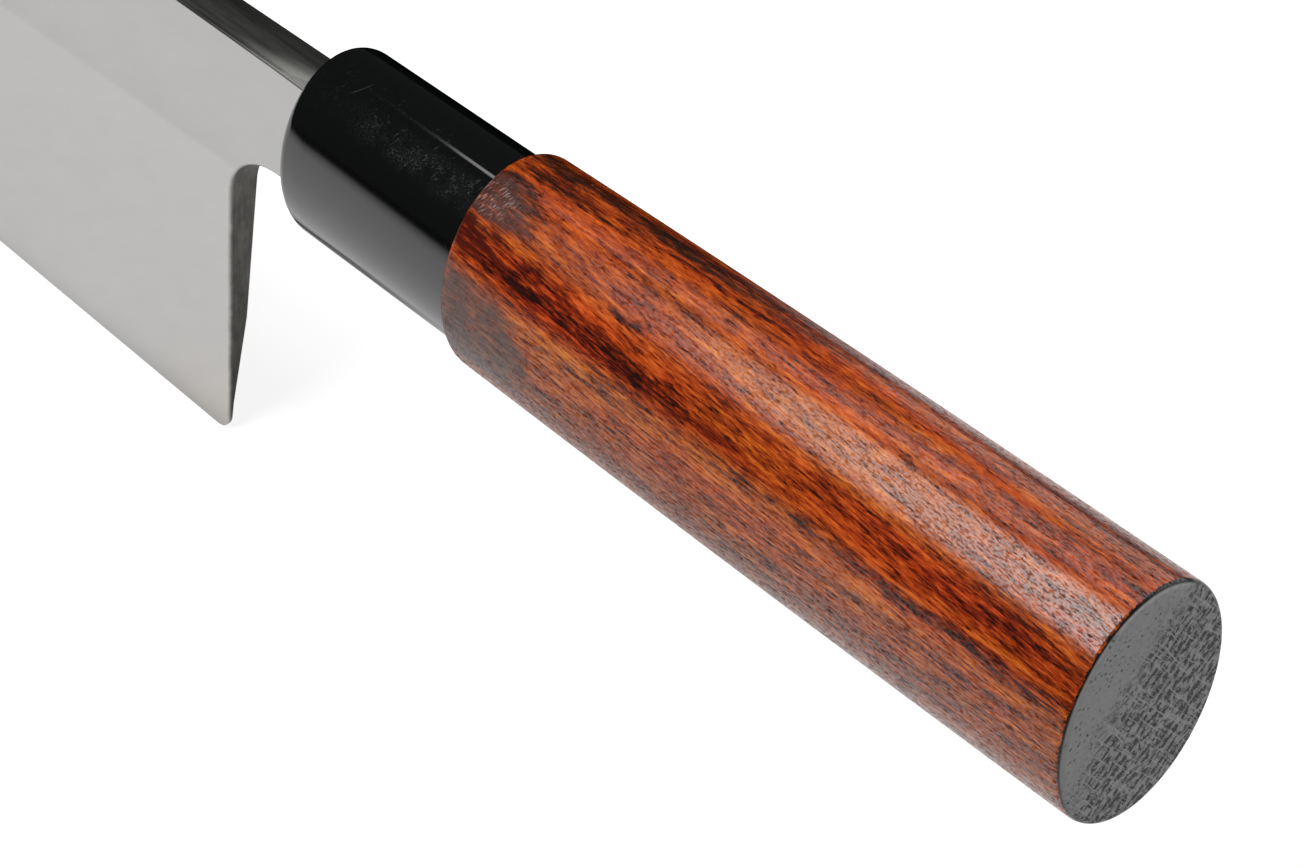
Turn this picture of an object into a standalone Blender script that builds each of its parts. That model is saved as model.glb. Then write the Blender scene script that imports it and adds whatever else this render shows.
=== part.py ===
"""Deba knife: single-bevel blade with hidden tang, oval rosewood grip, black ferrule.

Frame: metres. +X runs from the butt to the tip, +Y out of the blade's flat left face,
+Z from the edge up to the spine. y = 0 is the flat left face, z = 0 the handle's axis,
and x = 0 lies RACK_AHEAD in front of the heel, where a magnetic rack holds the blade.
"""
import math

import bmesh
import bpy
from mathutils import Vector

# Blade
RACK_AHEAD = 0.045          # origin to the heel
BLADE_LENGTH = 0.180        # heel to tip
SPINE_Z = 0.0072            # spine above the handle's axis
HEEL_HEIGHT = 0.0640        # spine to edge at the heel
SPINE_THICK = 0.00575       # thickness at the spine, at the ferrule
SPINE_STRAIGHT = 0.085      # straight run of the spine in front of the heel
TIP_DROP = 0.0170           # tip below the straight spine
EDGE_STRAIGHT = 0.048       # straight run of the edge in front of the heel
EDGE_SLOPE = 0.061          # rise of the straight edge, per unit of length
EDGE_THICK = 0.00025        # thickness left along the cutting edge
FACE_TAPER = 0.058          # thickness lost per unit of height, spine to edge
LENGTH_TAPER = 0.0142       # thickness lost per unit of length, towards the tip
BEVEL_HEIGHT = 0.0182       # height of the ground bevel at the heel
BEVEL_HEIGHT_TIP = 0.0125   # and at the tip
HEEL_LEAN = 0.0915          # the heel leans forward by this share of its height
HEEL_TIP_RADIUS = 0.0024    # rounded corner between heel and edge
CHOIL_RADIUS = 0.0065       # fillet between neck and heel
CREASE_DROP = 0.0194        # spine to the crease on the left face, at the heel
CREASE_SLOPE = 0.0255       # the crease falls by this much per unit of length
BACK_ANGLE = 0.50           # degrees that the left face leans in below the crease
CORNER_ROUND = 0.00035      # small round on spine, neck and heel corners

# Neck and tang
NECK_LENGTH = 0.0161        # ferrule to heel
NECK_HEIGHT = 0.0157        # spine to the neck's lower side, at the ferrule
NECK_FALL = 0.0006          # the neck deepens by this much on its way to the heel
NECK_FACET_LENGTH = 0.026   # facet on the neck's upper left corner, from the ferrule
NECK_FACET_WIDTH = 0.0026
NECK_FACET_DEPTH = 0.00022
TANG_LENGTH = 0.084         # from the ferrule's front
TANG_SHOULDER = 0.0035      # step from neck to tang, above and below
TANG_END_HEIGHT = 0.0060
TANG_END_THICK = 0.0030

# Handle, each oval built outwards from the one inside it
FERRULE_LENGTH = 0.0298
FERRULE_SIDE = 0.00648      # ferrule beside the neck, at its front
FERRULE_ENDS = 0.00415      # ferrule above and below the neck, at its front
FERRULE_FLARE = 0.0005      # the ferrule's sides widen to the rear by this much each
FERRULE_ROUND = 0.0015      # rounded front rim
FERRULE_WALL = 0.0020       # round the grip's tenon
FERRULE_FRONT_WALL = 0.0040
GRIP_LENGTH = 0.0920        # sealed end included
GRIP_STEP_SIDE = 0.00112    # grip stands proud of the ferrule at the sides
GRIP_STEP_ENDS = 0.00153    # and above and below
GRIP_FLARE_SIDE = 0.0012    # and widens to the butt by this much on each side
GRIP_FLARE_ENDS = 0.0011
GRIP_SWELL = 0.00020        # barrel of the grip's sides at mid length
GRIP_FRONT_ROUND = 0.0008
SEAL_THICK = 0.0010         # black sealed end, wraps round the butt's corner
SEAL_ROUND = 0.0009
SECTION_POWER = 2.05        # 2 is a true ellipse

# Fits
MOUTH_FILL = 0.0009         # resin round the neck in the ferrule's mouth
CEMENT = 0.0006             # cement round the tang in the bore
FIT_GAP = 0.0003            # gap between pieces that touch

RING = 72                   # points round the handle


HEEL_X = -RACK_AHEAD
FERRULE_X = HEEL_X - NECK_LENGTH
GRIP_X = FERRULE_X - FERRULE_LENGTH
BUTT_X = GRIP_X - GRIP_LENGTH
SEAL_X = BUTT_X + SEAL_THICK
TIP_X = HEEL_X + BLADE_LENGTH
TIP_Z = SPINE_Z - TIP_DROP
NECK_Z = SPINE_Z - NECK_HEIGHT
EDGE_HEEL_Z = SPINE_Z - HEEL_HEIGHT
HANDLE_Y = -SPINE_THICK / 2
CAVITY_X = FERRULE_X - FERRULE_FRONT_WALL
STEP_X = CAVITY_X - FIT_GAP
TENON_X = STEP_X - FIT_GAP
TANG_END_X = FERRULE_X - TANG_LENGTH
BORE_END_X = TANG_END_X - CEMENT - 2 * FIT_GAP


def clear_scene():
    for obj in list(bpy.data.objects):
        bpy.data.objects.remove(obj, do_unlink=True)


def material(name, colour, roughness, metallic):
    mat = bpy.data.materials.new(name)
    mat.use_nodes = True
    shader = mat.node_tree.nodes["Principled BSDF"]
    shader.inputs["Base Color"].default_value = (*colour, 1.0)
    shader.inputs["Roughness"].default_value = roughness
    shader.inputs["Metallic"].default_value = metallic
    return mat


def add_object(name, bm, mat=None, sharp=30.0):
    """Give a finished bmesh to a new object, smooth over its shallow corners."""
    bmesh.ops.recalc_face_normals(bm, faces=bm.faces)
    mesh = bpy.data.meshes.new(name)
    bm.to_mesh(mesh)
    bm.free()
    mesh.shade_smooth()
    mesh.set_sharp_from_angle(angle=math.radians(sharp))
    obj = bpy.data.objects.new(name, mesh)
    bpy.context.scene.collection.objects.link(obj)
    if mat is not None:
        mesh.materials.append(mat)
    return obj


def cut(obj, cutter):
    """Take the cutter's volume out of the object and keep the cutter as a guide."""
    cutter.hide_render = True
    cutter.display_type = "WIRE"
    mod = obj.modifiers.new("cut_" + cutter.name, "BOOLEAN")
    mod.operation = "DIFFERENCE"
    mod.solver = "EXACT"
    mod.object = cutter


def bezier(p0, p1, p2, p3, count):
    points = []
    for i in range(1, count + 1):
        t = i / count
        s = 1 - t
        points.append(tuple(
            s ** 3 * a + 3 * s * s * t * b + 3 * s * t * t * c + t ** 3 * d
            for a, b, c, d in zip(p0, p1, p2, p3)))
    return points


def fillet(corner, before, after, radius, count):
    """Arc of the given radius that replaces a corner between two straight sides."""
    c, a, b = Vector(corner), Vector(before), Vector(after)
    da, db = (a - c).normalized(), (b - c).normalized()
    half = math.acos(max(-1.0, min(1.0, da.dot(db)))) / 2
    reach = radius / math.tan(half)
    centre = c + (da + db).normalized() * (radius / math.sin(half))
    start, end = c + da * reach - centre, c + db * reach - centre
    turn = start.angle_signed(end)
    points = []
    for i in range(count + 1):
        a = -turn * i / count
        x = start.x * math.cos(a) - start.y * math.sin(a)
        y = start.x * math.sin(a) + start.y * math.cos(a)
        points.append((centre.x + x, centre.y + y))
    return points


def edge_curve():
    """Cutting edge from the heel's corner to the tip, in x and z."""
    heel_x = HEEL_X + HEEL_LEAN * (HEEL_HEIGHT - NECK_HEIGHT)
    start = (heel_x, EDGE_HEEL_Z)
    bend = (heel_x + EDGE_STRAIGHT, EDGE_HEEL_Z + EDGE_SLOPE * EDGE_STRAIGHT)
    reach = TIP_X - bend[0]
    rise = TIP_Z - bend[1]
    pull_a = (bend[0] + 0.38 * reach, bend[1] + EDGE_SLOPE * 0.38 * reach)
    pull_b = (TIP_X - 0.20 * reach, TIP_Z - 0.58 * rise)
    return start, bend, bezier(bend, pull_a, pull_b, (TIP_X, TIP_Z), 22)


def spine_curve():
    """Spine from the start of its drop to the tip, in x and z."""
    start = (HEEL_X + SPINE_STRAIGHT, SPINE_Z)
    reach = TIP_X - start[0]
    pull_a = (start[0] + 0.40 * reach, SPINE_Z)
    pull_b = (TIP_X - 0.22 * reach, TIP_Z + 0.42 * TIP_DROP)
    return start, bezier(start, pull_a, pull_b, (TIP_X, TIP_Z), 14)


def blade_outline():
    """Side view of blade, neck and tang as one closed line, in x and z."""
    heel, bend, belly = edge_curve()
    start, drop = spine_curve()
    tang_top = SPINE_Z - TANG_SHOULDER
    tang_low = NECK_Z + TANG_SHOULDER
    tang_mid = (SPINE_Z + NECK_Z) / 2
    neck_corner = (HEEL_X, NECK_Z - NECK_FALL)
    points = [(FERRULE_X, SPINE_Z), start]
    points += drop[:-1]
    points += list(reversed(belly))
    points += [bend]
    points += fillet(heel, bend, neck_corner, HEEL_TIP_RADIUS, 6)
    points += fillet(neck_corner, heel, (FERRULE_X, NECK_Z), CHOIL_RADIUS, 12)
    points += [(FERRULE_X, NECK_Z), (STEP_X, NECK_Z), (STEP_X, tang_low)]
    points += [(TANG_END_X, tang_mid - TANG_END_HEIGHT / 2)]
    points += [(TANG_END_X, tang_mid + TANG_END_HEIGHT / 2)]
    points += [(STEP_X, tang_top), (STEP_X, SPINE_Z)]
    return points


def slice_off(bm, point, normal):
    """Grind everything on the normal's side of a plane away and close the face."""
    geom = bm.verts[:] + bm.edges[:] + bm.faces[:]
    out = bmesh.ops.bisect_plane(
        bm, geom=geom, dist=1e-7, plane_co=point, plane_no=normal, clear_outer=True)
    rim = [e for e in out["geom_cut"] if isinstance(e, bmesh.types.BMEdge)]
    rim = [e for e in rim if e.is_boundary]
    bmesh.ops.holes_fill(bm, edges=rim, sides=0)


def crease_z(x):
    return SPINE_Z - CREASE_DROP - CREASE_SLOPE * (x - HEEL_X)


def right_face_y(x, z):
    """The right face, a plane that thins the blade to the edge and to the tip."""
    return -SPINE_THICK + FACE_TAPER * (SPINE_Z - z) + LENGTH_TAPER * (x - FERRULE_X)


def back_y(x, z):
    """The left face: flat above the crease, leaning in below it."""
    return -math.tan(math.radians(BACK_ANGLE)) * max(0.0, crease_z(x) - z)


def tang_taper():
    """Inward slope of the tang's two sides."""
    return (SPINE_THICK - TANG_END_THICK) / 2 / TANG_LENGTH


def make_blade(mat):
    bm = bmesh.new()
    ring = [bm.verts.new((x, 0.0, z)) for x, z in blade_outline()]
    face = bm.faces.new(ring)
    out = bmesh.ops.extrude_face_region(bm, geom=[face])
    moved = [v for v in out["geom"] if isinstance(v, bmesh.types.BMVert)]
    bmesh.ops.translate(bm, verts=moved, vec=(0.0, -SPINE_THICK, 0.0))
    bmesh.ops.recalc_face_normals(bm, faces=bm.faces)

    # Right face: one plane from spine to edge and from neck to tip.
    on_face = Vector((FERRULE_X, -SPINE_THICK, SPINE_Z))
    slice_off(bm, on_face, Vector((LENGTH_TAPER, -1.0, -FACE_TAPER)))

    # Left face below the crease.
    tilt = math.tan(math.radians(BACK_ANGLE))
    on_crease = Vector((HEEL_X, 0.0, crease_z(HEEL_X)))
    slice_off(bm, on_crease, Vector((-CREASE_SLOPE * tilt, 1.0, -tilt)))

    # Tang, thinned on both sides behind the ferrule's front.
    slope = tang_taper()
    slice_off(bm, Vector((FERRULE_X, 0.0, 0.0)), Vector((-slope, 1.0, 0.0)))
    slice_off(bm, on_face, Vector((-slope, -1.0, -FACE_TAPER)))

    # Facet on the upper left corner of the neck.
    near = Vector((FERRULE_X + NECK_FACET_LENGTH, 0.0, SPINE_Z))
    far = Vector((FERRULE_X, -NECK_FACET_WIDTH, SPINE_Z))
    low = Vector((FERRULE_X, 0.0, SPINE_Z - NECK_FACET_DEPTH))
    normal = (far - near).cross(low - near)
    if normal.z < 0:
        normal.negate()
    slice_off(bm, near, normal)

    round_corners(bm)
    blade = add_object("blade", bm, mat, sharp=8.0)
    cut(blade, bevel_cutter())
    return blade


def round_corners(bm):
    """Break the long corners of spine, neck, choil and heel."""
    bm.normal_update()
    chosen = []
    for e in bm.edges:
        if len(e.link_faces) != 2 or e.calc_face_angle(0.0) < math.radians(40):
            continue
        mid = (e.verts[0].co + e.verts[1].co) / 2
        on_spine = mid.z > SPINE_Z - TIP_DROP * 0.5 and mid.x < TIP_X - 0.012
        on_heel = mid.x < HEEL_X + HEEL_LEAN * HEEL_HEIGHT and mid.z > EDGE_HEEL_Z + 2.5 * HEEL_TIP_RADIUS
        ahead = mid.x > FERRULE_X + FIT_GAP
        if ahead and (on_spine or on_heel) and abs(e.verts[0].co.y - e.verts[1].co.y) < 0.002:
            chosen.append(e)
    bmesh.ops.bevel(
        bm, geom=chosen, offset=CORNER_ROUND, segments=2, profile=0.5, affect="EDGES",
        clamp_overlap=True)


def bevel_cutter():
    """Solid on the right of the ground bevel, a ruled surface along the whole edge."""
    heel, bend, belly = edge_curve()
    line = [(heel[0] + (bend[0] - heel[0]) * i / 4, heel[1] + (bend[1] - heel[1]) * i / 4)
            for i in range(4)] + [bend] + belly
    first, second = Vector(line[0]), Vector(line[1])
    last, before = Vector(line[-1]), Vector(line[-2])
    line = [first + (first - second).normalized() * 0.02] + [Vector(p) for p in line]
    line += [last + (last - before).normalized() * 0.02]
    bm = bmesh.new()
    rings = []
    for i, p in enumerate(line):
        a, b = line[max(0, i - 1)], line[min(len(line) - 1, i + 1)]
        along = (b - a).normalized()
        inward = Vector((-along.y, along.x))
        share = max(0.0, min(1.0, (p.x - heel[0]) / (TIP_X - heel[0])))
        height = BEVEL_HEIGHT + (BEVEL_HEIGHT_TIP - BEVEL_HEIGHT) * share
        top = p + inward * height
        y_edge = back_y(p.x, p.y) - EDGE_THICK
        y_top = right_face_y(top.x, top.y)
        slope = (y_top - y_edge) / height
        over, under = 0.006, 0.004
        q_in, q_out = top + inward * over, p - inward * under
        points = [
            (q_out.x, y_edge - slope * under, q_out.y),
            (q_in.x, y_top + slope * over, q_in.y),
            (q_in.x, -4 * SPINE_THICK, q_in.y),
            (q_out.x, -4 * SPINE_THICK, q_out.y),
        ]
        rings.append([bm.verts.new(q) for q in points])
    bridge(bm, rings)
    return add_object("bevel_guide", bm)


def bridge(bm, rings):
    """Skin rings of equal length one after another and cap both ends."""
    for a, b in zip(rings, rings[1:]):
        n = len(a)
        for i in range(n):
            j = (i + 1) % n
            bm.faces.new((a[i], a[j], b[j], b[i]))
    bm.faces.new(rings[0])
    bm.faces.new(list(reversed(rings[-1])))


def oval(width, height, inset=0.0):
    """Points of the handle's oval section round its own axis, in y and z."""
    a, b = width / 2 - inset, height / 2 - inset
    points = []
    for i in range(RING):
        t = 2 * math.pi * (i + 0.5) / RING
        c, s = math.cos(t), math.sin(t)
        power = 2 / SECTION_POWER
        points.append((a * math.copysign(abs(c) ** power, c), b * math.copysign(abs(s) ** power, s)))
    return points


def oval_body(name, stations, mat=None):
    """Solid through oval sections, each given as x, width, height and inset."""
    bm = bmesh.new()
    rings = []
    for x, width, height, inset in stations:
        rings.append([bm.verts.new((x, HANDLE_Y + y, z)) for y, z in oval(width, height, inset)])
    bridge(bm, rings)
    return add_object(name, bm, mat)


def rounding(radius, steps=5):
    """Setback and inset along a quarter round, from the side to the end."""
    pairs = []
    for i in range(steps + 1):
        a = math.pi / 2 * i / steps
        pairs.append((radius * (1 - math.sin(a)), radius * (1 - math.cos(a))))
    return pairs


def ferrule_size(x):
    """Width and height of the ferrule's outside at x."""
    flare = 2 * FERRULE_FLARE * (FERRULE_X - x) / FERRULE_LENGTH
    width = SPINE_THICK + 2 * FERRULE_SIDE
    height = 2 * max(SPINE_Z, -NECK_Z) + 2 * FERRULE_ENDS
    return width + flare, height


def grip_size(x):
    """Width and height of the grip's outside at x."""
    width, height = ferrule_size(GRIP_X)
    t = (GRIP_X - x) / GRIP_LENGTH
    swell = 2 * GRIP_SWELL * 4 * t * (1 - t)
    width += 2 * GRIP_STEP_SIDE + 2 * GRIP_FLARE_SIDE * t + swell
    height += 2 * GRIP_STEP_ENDS + 2 * GRIP_FLARE_ENDS * t + swell
    return width, height


def socket_size():
    """Width and height of the straight socket inside the ferrule."""
    width, height = ferrule_size(FERRULE_X)
    return width - 2 * FERRULE_WALL, height - 2 * FERRULE_WALL


def neck_section(x, spread):
    """Section of neck or tang at x as corners in y and z, grown by a clearance."""
    slope = tang_taper() * max(0.0, FERRULE_X - x)
    if x >= STEP_X:
        top, low = SPINE_Z, NECK_Z
    else:
        share = min(1.0, (STEP_X - x) / (STEP_X - TANG_END_X))
        full = NECK_HEIGHT - 2 * TANG_SHOULDER
        half = (full + (TANG_END_HEIGHT - full) * share) / 2
        middle = (SPINE_Z + NECK_Z) / 2
        top, low = middle + half, middle - half
    right = -SPINE_THICK + FACE_TAPER * SPINE_Z + slope - spread
    top, low = top + spread, low - spread
    left = spread - slope
    return [(left, top), (left, low), (right - FACE_TAPER * low, low), (right - FACE_TAPER * top, top)]


def neck_body(name, stations, mat=None):
    """Solid through neck sections, each given as its x, the section's x and its clearance."""
    bm = bmesh.new()
    rings = []
    for x, section_x, spread in stations:
        rings.append([bm.verts.new((x, y, z)) for y, z in neck_section(section_x, spread)])
    bridge(bm, rings)
    return add_object(name, bm, mat)


def make_ferrule(mat):
    stations = []
    straight = FERRULE_LENGTH - FERRULE_ROUND
    for i in range(4):
        x = GRIP_X + straight * i / 4
        stations.append((x, *ferrule_size(x), 0.0))
    for setback, inset in rounding(FERRULE_ROUND):
        x = FERRULE_X - setback
        stations.append((x, *ferrule_size(x), inset))
    ferrule = oval_body("ferrule", stations, mat)
    width, height = socket_size()
    socket = oval_body("socket_guide", [
        (GRIP_X - FERRULE_WALL, width, height, 0.0), (CAVITY_X, width, height, 0.0)])
    spread = MOUTH_FILL + 2 * FIT_GAP
    mouth = neck_body("mouth_guide", [
        (CAVITY_X - FERRULE_WALL, FERRULE_X, spread), (FERRULE_X + FERRULE_WALL, FERRULE_X, spread)])
    cut(ferrule, socket)
    cut(ferrule, mouth)
    return ferrule


def make_mouth_fill(mat):
    back, front = CAVITY_X + FIT_GAP, FERRULE_X - FIT_GAP
    spread = MOUTH_FILL + FIT_GAP
    fill = neck_body("mouth_resin", [(back, FERRULE_X, spread), (front, FERRULE_X, spread)], mat)
    hole = neck_body("mouth_hole_guide", [
        (back - FERRULE_WALL, FERRULE_X, FIT_GAP), (front + FERRULE_WALL, FERRULE_X, FIT_GAP)])
    cut(fill, hole)
    return fill


def make_grip(mat):
    stations = []
    straight = GRIP_X - GRIP_FRONT_ROUND - SEAL_X
    for i in range(8):
        x = SEAL_X + straight * i / 8
        stations.append((x, *grip_size(x), 0.0))
    for setback, inset in rounding(GRIP_FRONT_ROUND, 4):
        x = GRIP_X - setback
        stations.append((x, *grip_size(x), inset))
    width, height = socket_size()
    stations.append((GRIP_X, width, height, FIT_GAP))
    stations.append((TENON_X, width, height, FIT_GAP))
    grip = oval_body("grip", stations, mat)
    spread = CEMENT + 2 * FIT_GAP
    bore = neck_body("bore_guide", [
        (BORE_END_X, TANG_END_X, spread), (TENON_X, TENON_X, spread),
        (TENON_X + FERRULE_WALL, TENON_X, spread)])
    cut(grip, bore)
    return grip


def make_cement(mat):
    spread = CEMENT + FIT_GAP
    cement = neck_body("tang_cement", [
        (BORE_END_X + FIT_GAP, TANG_END_X, spread), (TENON_X, TENON_X, spread)], mat)
    slot = neck_body("tang_guide", [
        (TANG_END_X - FIT_GAP, TANG_END_X, FIT_GAP), (TENON_X, TENON_X, FIT_GAP),
        (TENON_X + FERRULE_WALL, TENON_X, FIT_GAP)])
    cut(cement, slot)
    return cement


def make_seal(mat):
    stations = [(SEAL_X, *grip_size(SEAL_X), 0.0)]
    for setback, inset in rounding(SEAL_ROUND, 4):
        x = BUTT_X + setback
        stations.append((x, *grip_size(x), inset))
    return oval_body("end_seal", stations, mat)


def make_materials():
    steel = material("steel", (0.56, 0.55, 0.54), 0.32, 1.0)
    wood = material("rosewood", (0.17, 0.050, 0.022), 0.38, 0.0)
    black = material("ferrule_black", (0.008, 0.009, 0.009), 0.14, 0.0)
    paint = material("seal_black", (0.060, 0.060, 0.060), 0.60, 0.0)
    cement = material("tang_cement", (0.42, 0.34, 0.22), 0.70, 0.0)
    resin = material("mouth_resin", (0.030, 0.024, 0.020), 0.30, 0.0)
    return steel, wood, black, paint, cement, resin


def build():
    clear_scene()
    steel, wood, black, paint, cement, resin = make_materials()
    knife = bpy.data.objects.new("knife_frame", None)
    bpy.context.scene.collection.objects.link(knife)
    pieces = [
        make_blade(steel), make_ferrule(black), make_grip(wood), make_seal(paint),
        make_cement(cement), make_mouth_fill(resin)]
    for piece in pieces:
        piece.parent = knife
    return pieces


build()
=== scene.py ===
"""Deba knife: the finished look of blade, ferrule, grip and sealed end in a pale studio."""
import math

import bmesh
import bpy
from mathutils import Matrix, Vector


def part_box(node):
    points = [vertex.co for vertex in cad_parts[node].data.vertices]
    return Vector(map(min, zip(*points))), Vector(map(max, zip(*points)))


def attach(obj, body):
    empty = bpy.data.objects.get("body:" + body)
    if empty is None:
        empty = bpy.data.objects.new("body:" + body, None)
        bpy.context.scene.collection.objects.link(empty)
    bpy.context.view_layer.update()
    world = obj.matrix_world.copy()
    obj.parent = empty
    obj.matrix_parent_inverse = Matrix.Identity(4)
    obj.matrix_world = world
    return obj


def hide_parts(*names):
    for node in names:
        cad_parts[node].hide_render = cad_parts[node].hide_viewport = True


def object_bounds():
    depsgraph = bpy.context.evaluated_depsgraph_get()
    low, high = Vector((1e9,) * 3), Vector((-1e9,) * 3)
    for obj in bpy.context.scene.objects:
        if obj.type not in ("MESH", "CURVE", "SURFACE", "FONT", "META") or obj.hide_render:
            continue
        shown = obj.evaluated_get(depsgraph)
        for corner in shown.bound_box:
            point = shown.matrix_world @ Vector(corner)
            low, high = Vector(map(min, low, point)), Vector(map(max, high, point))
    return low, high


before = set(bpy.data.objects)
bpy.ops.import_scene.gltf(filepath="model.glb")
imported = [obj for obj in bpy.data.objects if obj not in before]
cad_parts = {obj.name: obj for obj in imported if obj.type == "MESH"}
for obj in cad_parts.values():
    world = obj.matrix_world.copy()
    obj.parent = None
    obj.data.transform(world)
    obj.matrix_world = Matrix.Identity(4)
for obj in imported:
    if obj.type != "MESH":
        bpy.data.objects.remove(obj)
cad_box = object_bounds()

MM = 0.001

# Places read from the frame
blade_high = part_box("blade")[1]
ferrule_low, ferrule_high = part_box("ferrule")
grip_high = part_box("grip")[1]
seal_low, seal_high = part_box("end_seal")

SPINE_RAISE = 0.08 * MM
BUTT_SHORT = 0.1 * MM
SPINE_Z = blade_high.z + SPINE_RAISE
TIP_X = blade_high.x
FERRULE_X = ferrule_high.x
GRIP_X = ferrule_low.x
TENON_X = grip_high.x
SEAL_X = seal_high.x
BUTT_X = seal_low.x + BUTT_SHORT
HANDLE_Y = (ferrule_low.y + ferrule_high.y) / 2

# Blade
RACK_AHEAD = 45.0 * MM
HEEL_X = -RACK_AHEAD
SPINE_THICK = 5.90 * MM
HEEL_HEIGHT = 64.53 * MM
SPINE_STRAIGHT = 85.0 * MM
TIP_DROP = 17.0 * MM
EDGE_STRAIGHT = 48.0 * MM
EDGE_SLOPE = 0.061
EDGE_THICK = 0.25 * MM
FACE_TAPER = 0.054
LENGTH_TAPER = 0.0142
BEVEL_HEIGHT = 18.2 * MM
BEVEL_HEIGHT_TIP = 12.5 * MM
HEEL_LEAN = 0.0915
HEEL_TIP_RADIUS = 2.3 * MM
CHOIL_RADIUS = 7.9 * MM
CREASE_DROP = 19.48 * MM
CREASE_SLOPE = 0.0255
BACK_LEAN = math.tan(math.radians(0.50))
NECK_HEIGHT = 15.78 * MM
NECK_FALL = 0.6 * MM
# Facets ground beside the ferrule: reach forward, across and down from the left corner
NECK_FACETS = (Vector((26.0, 2.6, 0.22)) * MM, Vector((13.0, 2.3, 0.38)) * MM)
EASE_HEEL = 0.45 * MM
EASE_SPINE = 0.28 * MM
TANG_LENGTH = 84.0 * MM
TANG_SHOULDER = 3.5 * MM
TANG_END_HEIGHT = 6.0 * MM
TANG_END_THICK = 3.0 * MM
TANG_SLOPE = (SPINE_THICK - TANG_END_THICK) / 2 / TANG_LENGTH
EDGE_HEEL_Z = SPINE_Z - HEEL_HEIGHT
NECK_Z = SPINE_Z - NECK_HEIGHT
TIP_Z = SPINE_Z - TIP_DROP
CHIN_Z = EDGE_HEEL_Z + 2.0 * MM
EASE_HEEL_END = HEEL_X + 8 * MM
EASE_END = TIP_X - 10.0 * MM
TANG_MIDDLE_Z = (SPINE_Z + NECK_Z) / 2
TANG_END_X = FERRULE_X - TANG_LENGTH

# Curve handles of belly and spine: shares of the run along x and, at the tip, also along z
BELLY_PULL = 0.38
BELLY_TIP_PULL = (0.20, 0.58)
SPINE_PULL = 0.40
SPINE_TIP_PULL = (0.22, 0.42)

# Guide for the ground bevel: how far it reaches past the edge's ends and sideways, and
# past the bevel's top and bottom
GUIDE_REACH = 20 * MM
GUIDE_OVER = 6 * MM
GUIDE_UNDER = 4 * MM

# Handle
FERRULE_WIDTH = 18.71 * MM
FERRULE_HEIGHT = ferrule_high.z - ferrule_low.z
FERRULE_FLARE = 0.5 * MM
FERRULE_ROUND = 1.5 * MM
FERRULE_WALL = 2.0 * MM
FERRULE_FRONT_WALL = 4.0 * MM
FERRULE_DROP = 0.09 * MM
FERRULE_SHORT = 0.12 * MM
GRIP_STEP_SIDE = 1.12 * MM
GRIP_STEP_ENDS = 1.53 * MM
GRIP_FLARE_SIDE = 1.14 * MM
GRIP_FLARE_ENDS = 1.04 * MM
GRIP_SWELL = 0.20 * MM
GRIP_ROUND = 0.75 * MM
SEAL_ROUND = 0.9 * MM
PAINT_X = SEAL_X - 0.5 * MM
STEP_X = GRIP_X + 0.6 * MM
GAP = 0.3 * MM
TANG_STEP_X = FERRULE_X - FERRULE_FRONT_WALL - GAP
MOUTH_CLEARANCE = 1.5 * MM
BORE_CLEARANCE = 1.2 * MM
RING = 160
FERRULE_RINGS = 12
GRIP_RINGS = 60

# Camera, found from the outlines of the photograph
CAMERA_AT = Vector((-0.3869, 0.2630, 0.3412))
CAMERA_RIGHT = Vector((-0.6897, -0.7241, 0.0091))
CAMERA_UP = Vector((0.4952, -0.4624, 0.7354))
FOCAL_PIXELS = 4800.0
PHOTO_WIDTH = 1304.0
SENSOR = 36.0


# Modelling helpers

def pick(obj):
    """Make the object the active one and the only one selected."""
    bpy.ops.object.select_all(action="DESELECT")
    bpy.context.view_layer.objects.active = obj
    obj.select_set(True)


def start_edit(obj):
    pick(obj)
    bpy.ops.object.mode_set(mode="EDIT")
    bpy.ops.mesh.select_mode(type="VERT")


def select_all(action="SELECT"):
    bpy.ops.mesh.select_all(action=action)


def edit_all(obj):
    """Start editing with the whole mesh selected."""
    start_edit(obj)
    select_all()


def end_edit():
    bpy.ops.object.mode_set(mode="OBJECT")


def end_outward():
    """Turn all faces outward and stop editing."""
    select_all()
    bpy.ops.mesh.normals_make_consistent(inside=False)
    end_edit()


def pull_out(x, y):
    """Extrude what is selected along x and y."""
    bpy.ops.mesh.extrude_region_move(TRANSFORM_OT_translate={"value": (x, y, 0)})


def settle(obj):
    """Put the object's place into its mesh, so that the object sits at the origin."""
    pick(obj)
    bpy.ops.object.transform_apply(location=True, rotation=True, scale=True)


def named(name):
    obj = bpy.context.object
    obj.name = name
    obj.data.name = name
    return obj


def apply_modifier(obj, kind, **settings):
    pick(obj)
    mod = obj.modifiers.new(kind.lower(), kind)
    for key, value in settings.items():
        setattr(mod, key, value)
    bpy.ops.object.modifier_apply(modifier=mod.name)


def carve(obj, cutter):
    """Cut a guide out of the piece and throw the guide away."""
    apply_modifier(obj, "BOOLEAN", operation="DIFFERENCE", solver="EXACT", object=cutter)
    bpy.data.objects.remove(cutter, do_unlink=True)


def choose(obj, test, kind="vertices"):
    """In edit mode, select the vertices by place or the faces by middle and normal."""
    bpy.ops.mesh.select_mode(type="FACE" if kind == "polygons" else "VERT")
    select_all("DESELECT")
    end_edit()
    for item in getattr(obj.data, kind):
        item.select = test(item.center, item.normal) if kind == "polygons" else test(item.co)
    bpy.ops.object.mode_set(mode="EDIT")


def smooth(obj, angle):
    """Smooth shading, with a crease where faces meet at more than the angle in degrees."""
    pick(obj)
    bpy.ops.object.shade_smooth_by_angle(angle=math.radians(angle))


# Handle shapes

def ferrule_size(x):
    share = (FERRULE_X - x) / (FERRULE_X - GRIP_X)
    return FERRULE_WIDTH + 2 * FERRULE_FLARE * share, FERRULE_HEIGHT


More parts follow.
